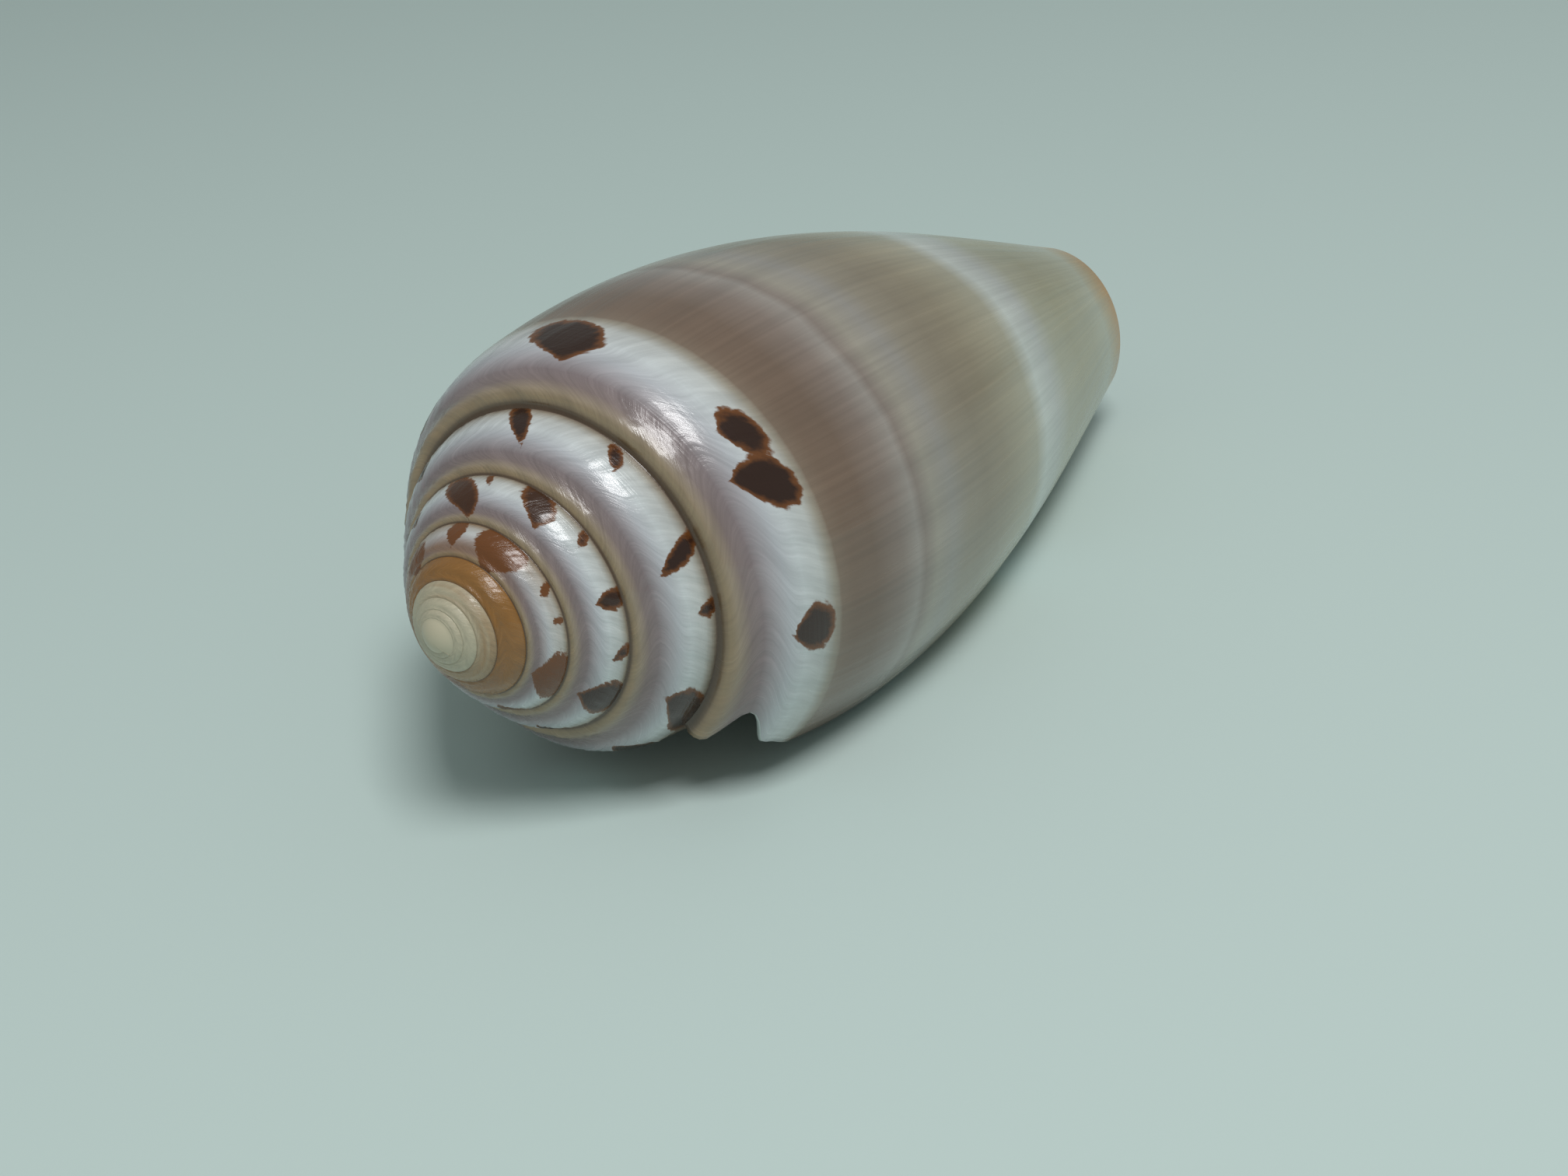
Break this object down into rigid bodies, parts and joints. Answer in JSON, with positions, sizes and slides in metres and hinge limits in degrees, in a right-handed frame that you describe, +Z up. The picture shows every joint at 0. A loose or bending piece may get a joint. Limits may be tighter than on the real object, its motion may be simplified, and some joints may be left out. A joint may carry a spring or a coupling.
{
  "type": "cone shell",
  "caption": "Glossy right-handed cone shell with a stepped spire and a long narrow aperture, lying on its aperture side.",
  "frame": {"origin": "middle of the bottom of the bounding box, on the surface that the shell rests on", "axes": "+X from the spire towards the anterior end, seen from above; +Z up; the lip is on the -Y side"},
  "size_m": [0.0562, 0.024, 0.0224],
  "materials": {
    "shell": "glossy natural shell"
  },
  "bodies": {
    "root": {"shell": "shell"}
  },
  "joints": []
}
